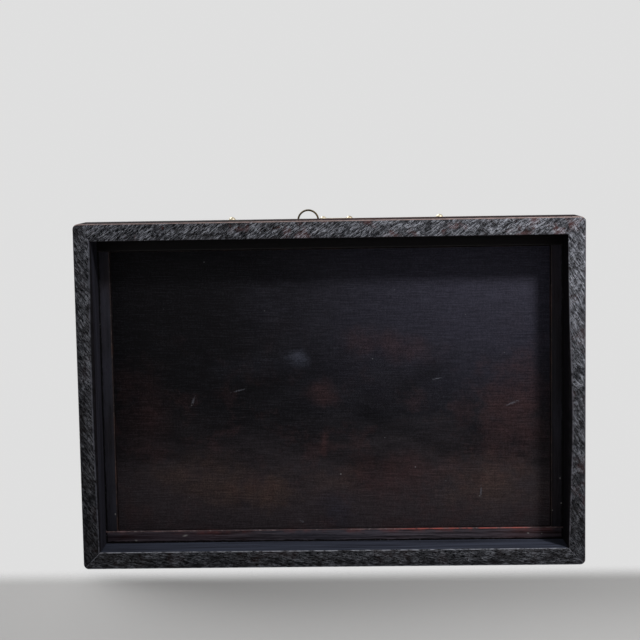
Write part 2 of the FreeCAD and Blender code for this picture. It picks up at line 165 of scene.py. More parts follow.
def surface(start, colour, roughness, metallic=0.0, specular=0.5, height=None, relief=0.05 * mm, **fixed):
    sockets = {"Base Color": colour, "Roughness": roughness, "Metallic": metallic}
    sockets["Specular IOR Level"] = specular
    sockets.update(fixed)
    if height is not None:
        sockets["Normal"] = start.node("ShaderNodeBump", {}, {"Height": height, "Distance": relief})
    shader = start.node("ShaderNodeBsdfPrincipled", {}, sockets)
    start.node("ShaderNodeOutputMaterial", {}, {"Surface": shader})


# Wood finishes

grainTurns = {"x": (0, 0, 0), "y": (0, 0, math.pi / 2)}

darkWood = {
    "deep": tone(24, 19, 20),
    "body": tone(40, 33, 34),
    "red": tone(74, 38, 32),
    "pore": tone(14, 11, 12),
    "film": tone(52, 54, 62),
    "redShare": 0.38,
    "filmShare": 0.14,
    "rough": 0.54,
    "specular": 0.12,
}
# How long and how thick the patterns of the wood are, and the depth of its pores
grainLook = {
    "long": (90 * mm, 2.2 * mm, 2.2 * mm),
    "fine": (16 * mm, 0.5 * mm, 0.5 * mm),
    "pores": (4.5 * mm, 0.24 * mm, 0.24 * mm),
    "patches": (100 * mm, 34 * mm, 34 * mm),
    "film": (80 * mm, 24 * mm, 24 * mm),
    "relief": 0.06 * mm,
}


def grainOf(place, along):
    turn = grainTurns[along]
    long = place.stretched(turn, grainLook["long"]).clouds(1, 4, 0.62)
    fine = place.stretched(turn, grainLook["fine"]).clouds(1, 3, 0.6)
    pores = place.stretched(turn, grainLook["pores"], (0.3, 0.1, 0.7)).clouds(1, 1, 0.5)
    return long, fine, pores.between(0.62, 0.72)


def spot(place, stain, soft=0.0):
    # 1 in the middle of an oval and 0 just past its edge; soft is added to the distance
    half = (stain["size"][0] * mm, stain["size"][1] * mm, 0.1)
    middle = (stain["at"][0] * mm, stain["at"][1] * mm, 0)
    turned = place.stretched((0, 0, math.radians(stain["tilt"])), half, middle)
    return (turned.length() + soft).between(1.1, 0.0)


def woodTone(place, along, look):
    # Grain, red patches, a bluish film and pores, and the roughness and height that go with them
    turn = grainTurns[along]
    long, fine, pores = grainOf(place, along)
    patches = place.stretched(turn, grainLook["patches"]).clouds(1, 4, 0.55)
    film = place.stretched(turn, grainLook["film"], (2, 5, 3)).clouds(1, 3, 0.6)
    colour = blended((long * 0.6 + fine * 0.4).between(0.36, 0.66), look["deep"], look["body"])
    colour = blended(patches.between(0.46, 0.70) * look["redShare"], colour, look["red"])
    colour = blended(film.between(0.42, 0.66) * look["filmShare"], colour, look["film"])
    colour = blended(pores * 0.7, colour, look["pore"])
    roughness = look["rough"] + 0.16 * (fine - 0.5) + 0.10 * film
    return colour, roughness, fine * 0.35 + long * 0.3 - pores * 0.6


# What else the bottom frame has: red wood near the panel, a dark crack beside the plinth, and crumbs in it
blushLook = {"patch": 16 * mm, "reach": 3.6 * mm, "start": 0.3 * mm, "share": 0.5}
crackLook = {
    "bend": 5 * mm,
    "wander": 1.6 * mm,
    "edges": (1.3 * mm, 0.7 * mm),
    "tone": tone(7, 6, 7),
    "crumb": 0.9 * mm,
    "crumbPatch": 12 * mm,
    "crumbBack": 0.5 * mm,
    "crumbTone": tone(150, 150, 154),
}
fleckTone = tone(158, 156, 154)


def crackOf(place, inner):
    # A ragged line along the foot of the plinth, inner being how far in from its faces it lies
    ragged = (place.clouds(crackLook["bend"], 3, 0.6) - 0.5) * crackLook["wander"]
    ends = plinthHalf.x - place.axis("X").absolute()
    faces = plinthHalf.y - (place.axis("Y") - plinthMiddle.y).absolute()
    outer, full = crackLook["edges"]
    return (ends.least(faces) + ragged).between(inner + outer, inner + full)


def hardwood(name, along, look):
    finish, place = newFinish(name)
    colour, roughness, height = woodTone(place, along, look)
    if "blush" in look:
        edge = look["blush"]
        patches = place.clouds(blushLook["patch"], 4, 0.65).between(0.44, 0.62)
        nearEdge = place.axis("Y").between(edge + blushLook["reach"], edge + blushLook["start"])
        colour = blended(nearEdge * patches * blushLook["share"], colour, look["blushTone"])
    if "crack" in look:
        colour = blended(crackOf(place, look["crack"]) * 0.95, colour, crackLook["tone"])
        crumbs = place.clouds(crackLook["crumb"], 2, 0.6).between(0.60, 0.68)
        crumbs = crumbs * place.clouds(crackLook["crumbPatch"], 2, 0.5).between(0.50, 0.60)
        crumbs = crumbs * crackOf(place, look["crack"] - crackLook["crumbBack"])
        colour = blended(crumbs * 0.6, colour, crackLook["crumbTone"])
    for fleck in look.get("flecks", []):
        colour = blended(spot(place, fleck), colour, fleckTone)
    surface(place, colour, roughness, 0.0, look["specular"], height, grainLook["relief"])
    return finish


# Softened edges, and from where to where along the back rail they are red
wearLook = {"rub": 14 * mm, "nick": 2.4 * mm, "redPatch": 9 * mm, "relief": 0.08 * mm}
redRun = {"from": (0.030, 0.060), "to": (0.135, 0.110), "behind": (0, 0.02)}


def wornEdge(name, look):
    # The softened edges, where handling has rubbed the dark finish thin; on the rails the tones also carry painted
    # shadow at the front and a painted highlight at the back
    finish, place = newFinish(name)
    rubbed = place.clouds(wearLook["rub"], 4, 0.65).between(0.46, 0.68)
    nicks = place.clouds(wearLook["nick"], 2, 0.6).between(0.54, 0.68)
    colour = blended(rubbed, look["kept"], look["rubbed"])
    if "red" in look:
        along = place.axis("X")
        redder = along.between(*redRun["from"]) * along.between(*redRun["to"])
        redder = redder * place.axis("Y").between(*redRun["behind"])
        redder = redder * place.clouds(wearLook["redPatch"], 3, 0.6).between(0.40, 0.55)
        colour = blended(redder, colour, look["red"])
    colour = blended(nicks * 0.5, colour, look["nick"])
    surface(place, colour, 0.50, 0.0, 0.15, nicks, wearLook["relief"])
    return finish


edgeLook = {"kept": tone(36, 30, 31), "rubbed": tone(64, 47, 43), "nick": tone(86, 76, 74)}

# The rim under each board: the angles of its scratches in degrees, how scraped and how red it is, the tone
# of the recess's wall above it, with painted light on the back and painted shade on the other sides, and the arris
# between the two, with the height of its light line in mm; that line is partly rubbed wood and partly a painted
# highlight
rimLooks = {
    "front": {"turn": -40, "cross": 38, "crossStart": 0.02, "share": 0.84, "red": 0.55,
              "wall": "dark", "chamfer": "dark", "arris": tone(60, 56, 60), "lineDepth": 0.9},
    "back": {"turn": 6, "cross": -16, "crossStart": -0.20, "share": 1.15, "red": 0.05,
             "wall": "lit", "chamfer": "lit", "arris": tone(168, 170, 180), "lineDepth": 0.9},
    "left": {"turn": 50, "cross": 70, "crossStart": -0.20, "share": 0.58, "red": 0.04,
             "wall": "dim", "chamfer": "dark", "arris": tone(92, 93, 102), "lineDepth": 0.3},
    "right": {"turn": 54, "cross": -36, "crossStart": -0.20, "share": 0.86, "red": 0.20,
              "wall": "dark", "chamfer": "dark", "arris": tone(112, 110, 118), "lineDepth": 0.3},
}
rimMarks = {
    "fine": {"turn": 0, "size": (2.8, 0.40), "shift": (0.1, 0.3, 0), "range": (0.525, 0.57)},
    "slim": {"turn": -20, "size": (1.3, 0.42), "shift": (0.4, 0.9, 0), "range": (0.565, 0.61)},
    "broad": {"turn": 9, "size": (5.0, 0.62), "shift": (0.7, 0.2, 0), "range": (0.565, 0.61)},
    "cross": {"turn": 0, "size": (2.8, 0.40), "shift": (0.5, 0.8, 0), "range": (0.545, 0.59)},
    "bands": {"turn": 4, "size": (7.0, 1.3), "shift": (0.2, 0.6, 0), "range": (0.42, 0.58)},
}
# Tones of the rim: shine is painted glints, and frontLine is partly rubbed wood and partly a painted highlight
rimTones = {
    "ground": tone(9, 9, 11),
    "groundWarm": tone(15, 12, 11),
    "film": tone(66, 69, 79),
    "scratch": tone(198, 201, 213),
    "shine": tone(232, 233, 238),
    "red": tone(88, 44, 38),
    "frontLine": tone(158, 138, 134),
}
# The recess wall's tone in lit and shaded copies: painted light on the back, painted shade on the left, front and
# right
wallToneLitAndShaded = {
    "lit": {"body": tone(76, 81, 96), "deep": tone(48, 50, 60)},
    "dim": {"body": tone(46, 46, 54), "deep": tone(30, 29, 34)},
    "dark": {"body": tone(24, 22, 26), "deep": tone(15, 14, 16)},
}
rimPlaces = {
    "south": (0.100, -0.075),            # from where to where the rim gets more light marks, towards the front
    "east": (-0.150, 0.150),             # and towards the right
    "crossFade": 0.12,
    "outside": (4 * mm, 2 * mm),         # how far in from the plinth's faces its outside ends
    "foot": (0.9 * mm, 0.35 * mm),       # how high the scraped face reaches
    "frontLine": (1.5 * mm, 0.7 * mm),   # how far in from the front the light line reaches, and how high
    "frontLineTop": (2 * mm, 1 * mm),
}
rimSizes = {
    "drift": 30 * mm,
    "bare": 6 * mm,
    "patches": 13 * mm,
    "sparks": 1.2 * mm,
    "wall": (60 * mm, 1.6 * mm, 1.6 * mm),
    "relief": 0.10 * mm,
    "wornEdge": 4 * mm,
    "chamfer": 6 * mm,
    "edgeRelief": 0.08 * mm,
}


def streaks(place, turn, kind):
    # Parallel scratches in the plane of the rim, turned from the board's angle by the angle of their kind
    mark = rimMarks[kind]
    size = (mark["size"][0] * mm, mark["size"][1] * mm, 40 * mm)
    turned = place.stretched((0, 0, math.radians(turn + mark["turn"])), size, mark["shift"])
    return turned.clouds(1, 2, 0.55, 0.55).between(*mark["range"])


def rimColour(place, look):
    # The scraped and scratched face that the box stands on, with more light marks towards the front and the right
    south = place.axis("Y").between(*rimPlaces["south"])
    east = place.axis("X").between(*rimPlaces["east"])
    cover = (south * 0.68 + 0.32) * (east * 0.24 + 0.70) * look["share"]
    drift = place.clouds(rimSizes["drift"], 3, 0.55)
    kinds = ("fine", "slim", "broad", "bands")
    fine, slim, broad, bands = [streaks(place, look["turn"], kind) for kind in kinds]
    start = look["crossStart"]
    crossing = (place.axis("X") + drift * 0.10).between(start, start + rimPlaces["crossFade"])
    cross = streaks(place, look["cross"], "cross") * crossing
    marks = fine.most(broad * 0.85).most(slim * 0.7).most(cross * 0.95)
    bare = place.moved((3, 7, 2)).clouds(rimSizes["bare"], 4, 0.65).between(0.60, 0.42)
    marks = marks * (0.30 + 0.70 * bands) * (0.45 + 0.55 * bare) * cover
    ground = blended(drift.between(0.40, 0.62), rimTones["ground"], rimTones["groundWarm"])
    ground = blended(bare * cover * 0.08, ground, rimTones["film"])
    patches = place.moved((4, 1, 6)).clouds(rimSizes["patches"], 4, 0.62).between(0.54, 0.66)
    ground = blended(patches * look["red"], ground, rimTones["red"])
    colour = blended(marks, ground, rimTones["scratch"])
    # The brightest specks on the marks are painted glints
    sparks = place.clouds(rimSizes["sparks"], 2, 0.6).between(0.60, 0.70)
    return blended(sparks * marks * 0.8, colour, rimTones["shine"]), marks


def outsideOf(place):
    # 1 on the outer faces of the plinth and 0 in its recess
    start, full = rimPlaces["outside"]
    fromMiddle = (place.axis("Y") - plinthMiddle.y).absolute()
    acrossEnds = place.axis("X").absolute().between(plinthHalf.x - start, plinthHalf.x - full)
    return acrossEnds.most(fromMiddle.between(plinthHalf.y - start, plinthHalf.y - full))


def rimWood(name, along, look):
    # Plinth boards: scraped and scratched underneath, bluish in the recess with the wall's painted light and
    # shade, case wood outside
    finish, place = newFinish(name)
    down = place.axis("Z").between(*rimPlaces["foot"])
    scraped, marks = rimColour(place, look)
    plain, roughness, height = woodTone(place, along, darkWood)
    outside = outsideOf(place)
    tones = wallToneLitAndShaded[look["wall"]]
    grain = place.stretched(grainTurns[along], rimSizes["wall"]).clouds(1, 4, 0.6)
    wall = blended(grain.between(0.36, 0.64), tones["deep"], tones["body"])
    colour = blended(down, blended(outside, wall, plain), scraped)
    roughness = roughness + 0.10 * marks * down + 0.25 * outside
    surface(place, colour, roughness, 0.0, 0.03, height + marks * down * 0.8, rimSizes["relief"])
    return finish


def rimEdge(name, look):
    # The rounded arrises of the plinth: a light line at the foot, partly rubbed wood and partly a painted
    # highlight, then the tone of the wall with its painted light and shade
    finish, place = newFinish(name)
    scraped, marks = rimColour(place, look)
    worn = place.clouds(rimSizes["wornEdge"], 4, 0.65).between(0.36, 0.60)
    # The foot line's tone, set per side, is rubbed wood with a painted highlight, brightest on the back board
    line = blended(worn * 0.8, scraped, look["arris"])
    # Painted light on the back board's chamfer and painted shade on the others
    tones = wallToneLitAndShaded[look["chamfer"]]
    clouds = place.clouds(rimSizes["chamfer"], 4, 0.6).between(0.36, 0.62)
    wall = blended(clouds, tones["deep"], tones["body"])
    wall = blended(outsideOf(place), wall, blended(worn, edgeLook["kept"], edgeLook["rubbed"]))
    depth = look["lineDepth"] * mm
    colour = blended(place.axis("Z").between(depth, 0.28 * depth), wall, line)
    # A light line along the front arris: partly rubbed wood, partly a painted highlight
    start, full = rimPlaces["frontLine"]
    front = place.axis("Y").between(plinthLow.y + start, plinthLow.y + full)
    front = front * place.axis("Z").between(*rimPlaces["frontLineTop"])
    colour = blended(front * (0.55 + 0.4 * worn), colour, rimTones["frontLine"])
    surface(place, colour, 0.55, 0.0, 0.05, marks, rimSizes["edgeRelief"])
    return finish


# Stains and rubbed places on the bottom panel: middle, half sizes and tilt, in mm and degrees
panelStains = [
    {"kind": "ochre", "at": (-78, 60), "size": (58, 20), "tilt": 8, "share": 0.55},
    {"kind": "ochre", "at": (-46, 68), "size": (26, 12), "tilt": 4, "share": 0.60},
    {"kind": "ochre", "at": (0, 62), "size": (24, 13), "tilt": -8, "share": 0.45},
    {"kind": "red", "at": (42, 58), "size": (50, 20), "tilt": -4, "share": 0.50},
    {"kind": "ochre", "at": (98, 64), "size": (46, 22), "tilt": -4, "share": 0.55},
    {"kind": "red", "at": (114, 18), "size": (30, 46), "tilt": 12, "share": 0.50},
    {"kind": "red", "at": (-117, 18), "size": (22, 44), "tilt": 0, "share": 0.22},
    {"kind": "red", "at": (36, -26), "size": (42, 12), "tilt": 8, "share": 0.30},
    {"kind": "red", "at": (-5, 36), "size": (3.6, 15), "tilt": 6, "share": 0.75},
    {"kind": "red", "at": (-7, 4), "size": (14, 10), "tilt": 30, "share": 0.40},
    {"kind": "deep", "at": (-52, 2), "size": (38, 9), "tilt": -14, "share": 0.75},
    {"kind": "deep", "at": (-88, -22), "size": (30, 22), "tilt": 0, "share": 0.50},
    {"kind": "deep", "at": (54, -2), "size": (32, 10), "tilt": -32, "share": 0.50},
    {"kind": "deep", "at": (27, 22), "size": (20, 8), "tilt": 42, "share": 0.55},
    {"kind": "haze", "at": (-21, -19), "size": (11, 7), "tilt": 20, "share": 0.42},
    {"kind": "haze", "at": (-46, -14), "size": (34, 10), "tilt": -6, "share": 0.07},
    {"kind": "blue", "at": (2, 76), "size": (15, 22), "tilt": -20, "share": 0.55},
]
# deep serves both the painted shade on the left and real dark stains; blue serves both the painted light at the
# front right and a real bluish stain
panelTones = {
    "deep": tone(18, 17, 20),
    "body": tone(37, 36, 41),
    "blue": tone(58, 57, 70),
    "brown": tone(74, 66, 70),
    "red": tone(84, 58, 58),
    "ochre": tone(94, 75, 68),
    "grain": tone(104, 104, 114),
    "pit": tone(9, 9, 10),
    "haze": tone(92, 96, 112),
    "scratch": tone(122, 124, 134),
    "dust": tone(156, 156, 160),
}
panelScratches = [
    {"at": (-87, 8), "size": (0.9, 3.4), "tilt": 20},
    {"at": (113, 12), "size": (5.5, 0.8), "tilt": -20},
    {"at": (93, 68), "size": (0.8, 4.5), "tilt": 4},
    {"at": (66, -4), "size": (4, 0.5), "tilt": -10},
    {"at": (-20, 86), "size": (2.2, 0.8), "tilt": 30},
    {"at": (-58, 2), "size": (5, 0.5), "tilt": -14},
]
dustPlaces = [
    ((-78, -79), 0.6), ((-41, -48), 0.3), ((26, -17), 0.5), ((-88, 11), 0.5), ((5, 56), 0.9),
    ((52, 52), 0.7), ((92, 71), 0.6), ((-91, 70), 0.2), ((71, 61), 0.3), ((108, -20), 0.3),
    ((-104, -50), 0.1), ((40, -60), 0.2), ((-60, 40), 0.1), ((84, -44), 0.2), ((33, 33), 0.3),
]
panelDust = [
    {"at": at, "size": (0.25 + 0.45 * part, 0.25 + 0.35 * part), "tilt": 0, "share": 0.35 + 0.6 * part}
    for at, part in dustPlaces
]
panelSizes = {
    "weaveRun": (16 * mm, 0.40 * mm, 1),
    "weaveAcross": (0.9 * mm, 9 * mm, 1),
    "speckle": 0.7 * mm,
    "broad": 60 * mm,
    "smears": (70 * mm, 22 * mm, 1),
    "ragged": 17 * mm,
    "rust": 24 * mm,
    "grit": 0.9 * mm,
    "relief": 0.05 * mm,
}


def panelWood(name):
    finish, place = newFinish(name)
    long, fine, pores = grainOf(place, "x")
    weaveRun = place.stretched((0, 0, 0.02), panelSizes["weaveRun"]).clouds(1, 4, 0.72, 0.3)
    across = place.stretched((0, 0, 0), panelSizes["weaveAcross"], (0.6, 0.1, 0))
    weaveAcross = across.clouds(1, 4, 0.72, 0.3)
    speckle = place.clouds(panelSizes["speckle"], 2, 0.7)
    weave = (weaveRun * 0.54 + weaveAcross * 0.14 + speckle * 0.32).between(0.40, 0.60)
    broad = place.clouds(panelSizes["broad"], 5, 0.6)
    smears = place.stretched((0, 0, 0.2), panelSizes["smears"], (0.2, 0.5, 0)).clouds(1, 4, 0.6)
    # Painted shade darkens the left, painted light makes the front right lighter and bluish, and the back is brown
    east = place.axis("X") + (broad - 0.5) * 0.12
    south = place.axis("Y") + (smears - 0.5) * 0.07
    leftPaintedShade = east.between(-0.13, 0.02) * smears.between(0.30, 0.66)
    colour = blended(leftPaintedShade, panelTones["deep"], panelTones["body"])
    colour = blended(east.between(-0.09, 0.13) * south.between(0.045, -0.06), colour, panelTones["blue"])
    colour = blended(south.between(0.012, 0.080) * 0.85, colour, panelTones["brown"])
    ragged = (place.clouds(panelSizes["ragged"], 5, 0.7) - 0.5) * 1.9
    for stain in panelStains:
        amount = spot(place, stain, ragged) * stain["share"] * (0.7 + 0.6 * weave)
        colour = blended(amount, colour, panelTones[stain["kind"]])
    rust = place.clouds(panelSizes["rust"], 5, 0.68).between(0.50, 0.66) * south.between(-0.055, 0.055)
    colour = blended(rust * 0.28 * (0.6 + 0.7 * weave), colour, panelTones["red"])
    colour = blended((1 - weave) * 0.55, colour, panelTones["pit"])
    colour = blended(weave.between(0.55, 1.0) * 0.07, colour, panelTones["grain"])
    colour = blended(pores * 0.30, colour, darkWood["pore"])
    grit = place.clouds(panelSizes["grit"], 1, 0.5)
    for mark in panelScratches:
        colour = blended(spot(place, mark, (grit - 0.5) * 2.0) * 0.5, colour, panelTones["scratch"])
    for speck in panelDust:
        colour = blended(spot(place, speck) * speck["share"], colour, panelTones["dust"])
    roughness = 0.48 + 0.14 * (broad - 0.5) + 0.12 * (weave - 0.5)
    surface(place, colour, roughness, 0.0, 0.05, weave * 0.5 + long * 0.3, panelSizes["relief"])
    return finish


print("wood finishes defined")


# Brass finishes

brassLooks = {
    "pale": {
        "body": tone(210, 200, 178),
        "deep": tone(140, 122, 94),
        "grime": tone(50, 42, 34),
        "rough": 0.34,
    },
    "dark": {
        "body": tone(96, 84, 62),
        "deep": tone(58, 50, 40),
        "grime": tone(26, 24, 24),
        "rough": 0.42,
    },
}
brassSizes = {
    "tarnish": 5 * mm,
    "grime": 1.6 * mm,
    "rubs": (3 * mm, 0.16 * mm, 0.16 * mm),
    "relief": 0.02 * mm,
}


def oldBrass(name, look):
    finish, place = newFinish(name)
    tarnish = place.clouds(brassSizes["tarnish"], 4, 0.55)
    grime = place.clouds(brassSizes["grime"], 3, 0.65).between(0.58, 0.74)
    rubs = place.stretched((0.4, 0.7, 0.3), brassSizes["rubs"]).clouds(1, 2, 0.6)
    colour = blended(tarnish.between(0.42, 0.72) * 0.8, look["body"], look["deep"])
    colour = blended(grime * 0.5, colour, look["grime"])
    metallic = 1 - 0.55 * grime
    roughness = look["rough"] + 0.22 * tarnish + 0.18 * (rubs - 0.5) + 0.2 * grime
    surface(place, colour, roughness, metallic, 0.5, rubs * 0.4 + grime * 0.6, brassSizes["relief"])
    return finish


paleBrass = oldBrass("paleBrass", brassLooks["pale"])
darkBrass = oldBrass("darkBrass", brassLooks["dark"])
print("brass finishes defined")


# Working in edit mode

mergeWithin = 0.002 * mm
flatWithin = math.radians(0.5)


def alone(piece):
    bpy.ops.object.select_all(action="DESELECT")
    piece.select_set(True)
    bpy.context.view_layer.objects.active = piece


def editing(piece):
    alone(piece)
    bpy.ops.object.mode_set(mode="EDIT")


def doneEditing():
    bpy.ops.object.mode_set(mode="OBJECT")


def startFrom(node, name):
    # A merged copy of a node's loose triangles, with its flat faces whole again
    piece = bpy.data.objects.new(name, frame["nodes"][node].data.copy())
    bpy.context.scene.collection.objects.link(piece)
    piece.data.materials.clear()
    editing(piece)
    bpy.ops.mesh.select_all(action="SELECT")
    bpy.ops.mesh.customdata_custom_splitnormals_clear()
    bpy.ops.mesh.remove_doubles(threshold=mergeWithin)
    bpy.ops.mesh.dissolve_limited(angle_limit=flatWithin)
    doneEditing()
    return piece


def soften(piece, width, share, segments=2):
    # Rounds the sharp edges, each by its own share of the width
    shaped = bmesh.new()
    shaped.from_mesh(piece.data)
    weight = shaped.edges.layers.float.get("bevel_weight_edge")
    if weight is None:
        weight = shaped.edges.layers.float.new("bevel_weight_edge")
    for edge in shaped.edges:
        if len(edge.link_faces) == 2 and edge.calc_face_angle(0) > sharp:
            edge[weight] = share(edge)
    shaped.to_mesh(piece.data)
    shaped.free()
    bevel = piece.modifiers.new("softened", "BEVEL")
    bevel.limit_method = "WEIGHT"
    bevel.width = width
    bevel.segments = segments
    bevel.material = 1
    bevel.use_clamp_overlap = False
    alone(piece)
    bpy.ops.object.modifier_apply(modifier=bevel.name)
    bpy.ops.object.shade_smooth_by_angle(angle=sharp)


def settle(piece, nodes):
    # The piece stands for its nodes, and moves with the body of the first
    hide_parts(*nodes)
    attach(piece, bodyOf[nodes[0]])


def finishPiece(piece, node, materials, width, share, segments=2):
    # The second material is for the rounded edges
    for material in materials:
        piece.data.materials.append(material)
    soften(piece, width, share, segments)
    settle(piece, [node])


# Plinth: four mitred boards, with a worn inner edge

plinthLook = {
    "arris": 2.4 * mm,       # the widest wear on an inner edge
    "outer": 0.26,           # share of it on the other long edges
    "mitre": 0.07,           # and along the mitres
    "slice": 3.0 * mm,
    # The most wear of an inner edge, where along the board that is, and how far it spreads, in mm
    "wear": {
        "front": (0.16, 0, 900),
        "back": (0.20, 0, 900),
        "left": (1.05, -8, 110),
        "right": (1.3, 22, 68),
    },
    "least": 0.06,
    # How deep the nicks are and how close together, everywhere and then where the edge is worn
    "nicks": [(0.10, 210), (0.05, 700)],
    "wornNicks": [(0.30, 110), (0.15, 420)],
}
plinthLow = Vector(map(min, *[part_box(f"plinth_{side}")[0] for side in ("left", "right", "front")]))
plinthHigh = Vector(map(max, *[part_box(f"plinth_{side}")[1] for side in ("left", "right", "back")]))
plinthMiddle = (plinthLow + plinthHigh) / 2
plinthHalf = (plinthHigh - plinthLow) / 2
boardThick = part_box("plinth_front")[1].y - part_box("plinth_front")[0].y


def inset(point):
    # How far a point lies inside the ends and inside the long faces of the plinth
    return (plinthHalf.x - abs(point.x - plinthMiddle.x), plinthHalf.y - abs(point.y - plinthMiddle.y))


def onMitre(point):
    fromEnd, fromFace = inset(point)
    return abs(fromEnd - fromFace) < near


def makePlinthBoard(side):
    node = f"plinth_{side}"
    piece = startFrom(node, f"plinthBoard_{side}")
    lengthwise = "x" if side in ("front", "back") else "y"
    run = Vector((1, 0, 0)) if lengthwise == "x" else Vector((0, 1, 0))
    half = plinthHalf.x if lengthwise == "x" else plinthHalf.y
    slices = int(2 * half / plinthLook["slice"])
    editing(piece)
    for number in range(1, slices):
        where = plinthMiddle + run * (-half + 2 * half * number / slices)
        bpy.ops.mesh.select_all(action="SELECT")
        bpy.ops.mesh.bisect(plane_co=where, plane_no=run)
    doneEditing()
    most, middle, spread = plinthLook["wear"][side]
    seed = Vector((7.3, 1.9, 4.1)) * (1 + list(plinthLook["wear"]).index(side))

    def share(edge):
        first, second = [vertex.co for vertex in edge.verts]
        if onMitre(first) and onMitre(second):
            return plinthLook["mitre"]
        centre = (first + second) / 2
        fromEnd, fromFace = inset(centre)
        across = fromFace if lengthwise == "x" else fromEnd
        atFoot = max(first.z, second.z) < touch
        if not atFoot or abs(across - boardThick) >= near:
            return plinthLook["outer"]
        place = (centre - plinthMiddle).dot(run) / mm
        worn = most * math.exp(-(((place - middle) / spread) ** 2))
        (deep, wide), (shallow, close) = plinthLook["nicks"]
        nick = deep * max(0, noise.noise(centre * wide + seed)) + shallow * noise.noise(centre * close + seed)
        for depth, rate in plinthLook["wornNicks"]:
            nick += depth * worn * noise.noise(centre * rate + seed)
        return max(plinthLook["least"], worn + nick)

    look = rimLooks[side]
    materials = [rimWood(f"rim_{side}", lengthwise, look), rimEdge(f"rimEdge_{side}", look)]
    finishPiece(piece, node, materials, plinthLook["arris"], share, 3)


for side in rimLooks:
    makePlinthBoard(side)
print("plinth boards made")


# Flat boards, of which the bottom frame and panel come first

boardLook = {
    "joint": 0.2,            # share of the rounding where a board meets another
    "short": 1.2 * mm,       # shorter edges stay sharp, such as those around a hole
    "corner": 0.145,         # apart from those at the corners of the box
}


def makeBoard(node, name, wood, edgeWood, width, meets=None):
    # meets says of the two ends of an edge whether the board meets another there
    piece = startFrom(node, name)

    def share(edge):
        first, second = [vertex.co for vertex in edge.verts]
        short = edge.calc_length() < boardLook["short"]
        if short and max(abs(first.x), abs(second.x)) < boardLook["corner"]:
            return 0
        return boardLook["joint"] if meets and meets(first, second) else 1

    finishPiece(piece, node, [wood, edgeWood], width, share)


def inEndsOf(node, axis):
    # For a board that runs along an axis and meets others with its two ends
    index = "xyz".index(axis)
    ends = [corner[index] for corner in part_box(node)]

    def meets(first, second):
        return any(max(abs(first[index] - end), abs(second[index] - end)) < touch for end in ends)

    return meets


bottomLook = {"arris": 0.7 * mm, "panelArris": 0.3 * mm}
flecks = [
    {"at": (-94.2, 94.4), "size": (2.2, 0.8), "tilt": -14},
    {"at": (-125.5, 97.2), "size": (1.3, 0.7), "tilt": 10},
    {"at": (-138.2, 80), "size": (0.5, 0.8), "tilt": 0},
    {"at": (142.5, 60), "size": (0.5, 0.9), "tilt": 0},
    {"at": (143.2, 76), "size": (0.7, 0.6), "tilt": 0},
    {"at": (137.6, 80.5), "size": (0.6, 0.6), "tilt": 0},
    {"at": (122.5, 95), "size": (1.0, 0.5), "tilt": 6},
    {"at": (131, 95.4), "size": (0.6, 0.5), "tilt": 0},
]
bottomTones = dict(darkWood, red=tone(92, 46, 40), specular=0.08)
railLook = dict(
    bottomTones,
    deep=tone(22, 20, 24),
    body=tone(104, 97, 106),
    film=tone(62, 63, 74),
    filmShare=0.45,
    redShare=0.25,
    blush=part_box("bottom_rail_back")[0].y,
    blushTone=tone(126, 66, 62),
    crack=boardThick,
    flecks=flecks,
)
stileLook = dict(
    bottomTones,
    deep=tone(28, 27, 31),
    body=tone(46, 44, 50),
    film=tone(62, 63, 74),
    filmShare=0.45,
    redShare=0.05,
    crack=boardThick,
    flecks=flecks,
)
# The front rail lies in the plinth's cast shadow: its near-black tones and those of its edges are painted shadow
shadowedFrontRailLook = dict(
    bottomTones,
    deep=tone(12, 11, 12),
    body=tone(20, 17, 19),
    film=tone(20, 19, 22),
    redShare=0.0,
)
railWood = hardwood("bottomRailWood", "x", railLook)
stileWood = hardwood("bottomStileWood", "y", stileLook)
frontRailWood = hardwood("frontRailWood", "x", shadowedFrontRailLook)
frontRailEdge = wornEdge("frontRailEdge", {
    "kept": tone(15, 13, 14),
    "rubbed": tone(30, 25, 26),
    "nick": tone(36, 33, 34),
})
# The back rail's arris: rubbed red wood with a painted highlight, lighter than the other edges
railEdge = wornEdge("railEdge", {
    "kept": tone(80, 66, 68),
    "rubbed": tone(144, 118, 118),
    "nick": tone(150, 140, 140),
    "red": tone(178, 94, 86),
})
darkEdge = wornEdge("darkEdge", edgeLook)

bottomBoards = {
    "bottom_rail_front": ("bottomRail_front", "x", frontRailWood, frontRailEdge),
    "bottom_rail_back": ("bottomRail_back", "x", railWood, railEdge),
    "bottom_stile_left": ("bottomStile_left", "y", stileWood, darkEdge),
    "bottom_stile_right": ("bottomStile_right", "y", stileWood, darkEdge),
}
for node, (name, along, wood, edgeWood) in bottomBoards.items():
    makeBoard(node, name, wood, edgeWood, bottomLook["arris"], inEndsOf(node, along))
makeBoard("bottom_panel", "bottomPanel", panelWood("bottomPanelWood"), darkEdge, bottomLook["panelArris"])
print("bottom made")


# Case, wells, drawer and lid boards

caseWood = {
    "x": hardwood("caseWoodAlong", "x", darkWood),
    "y": hardwood("caseWoodAcross", "y", darkWood),
}
insideWood = dict(
    darkWood,
    deep=tone(66, 42, 30),
    body=tone(104, 70, 50),
    red=tone(122, 70, 48),
    pore=tone(38, 24, 18),
    film=tone(96, 78, 64),
    rough=0.56,
    specular=0.3,
)
bareWood = {
    "x": hardwood("bareWoodAlong", "x", insideWood),
    "y": hardwood("bareWoodAcross", "y", insideWood),
}
bareEdge = wornEdge("bareEdge", {
    "kept": tone(92, 62, 46),
    "rubbed": tone(134, 98, 74),
    "nick": tone(150, 122, 98),
})
caseHalf = Vector((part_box("case_right")[1].x, (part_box("case_back")[1].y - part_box("case_front")[0].y) / 2, 0))


def inCaseMitres(first, second):
    # Both ends of an edge lie in the planes through the corners of the case and the lid
    insets = [
        (caseHalf.x - abs(point.x), caseHalf.y - abs(point.y - plinthMiddle.y))
        for point in (first, second)
    ]
    return all(abs(fromEnd - fromFace) < near for fromEnd, fromFace in insets)


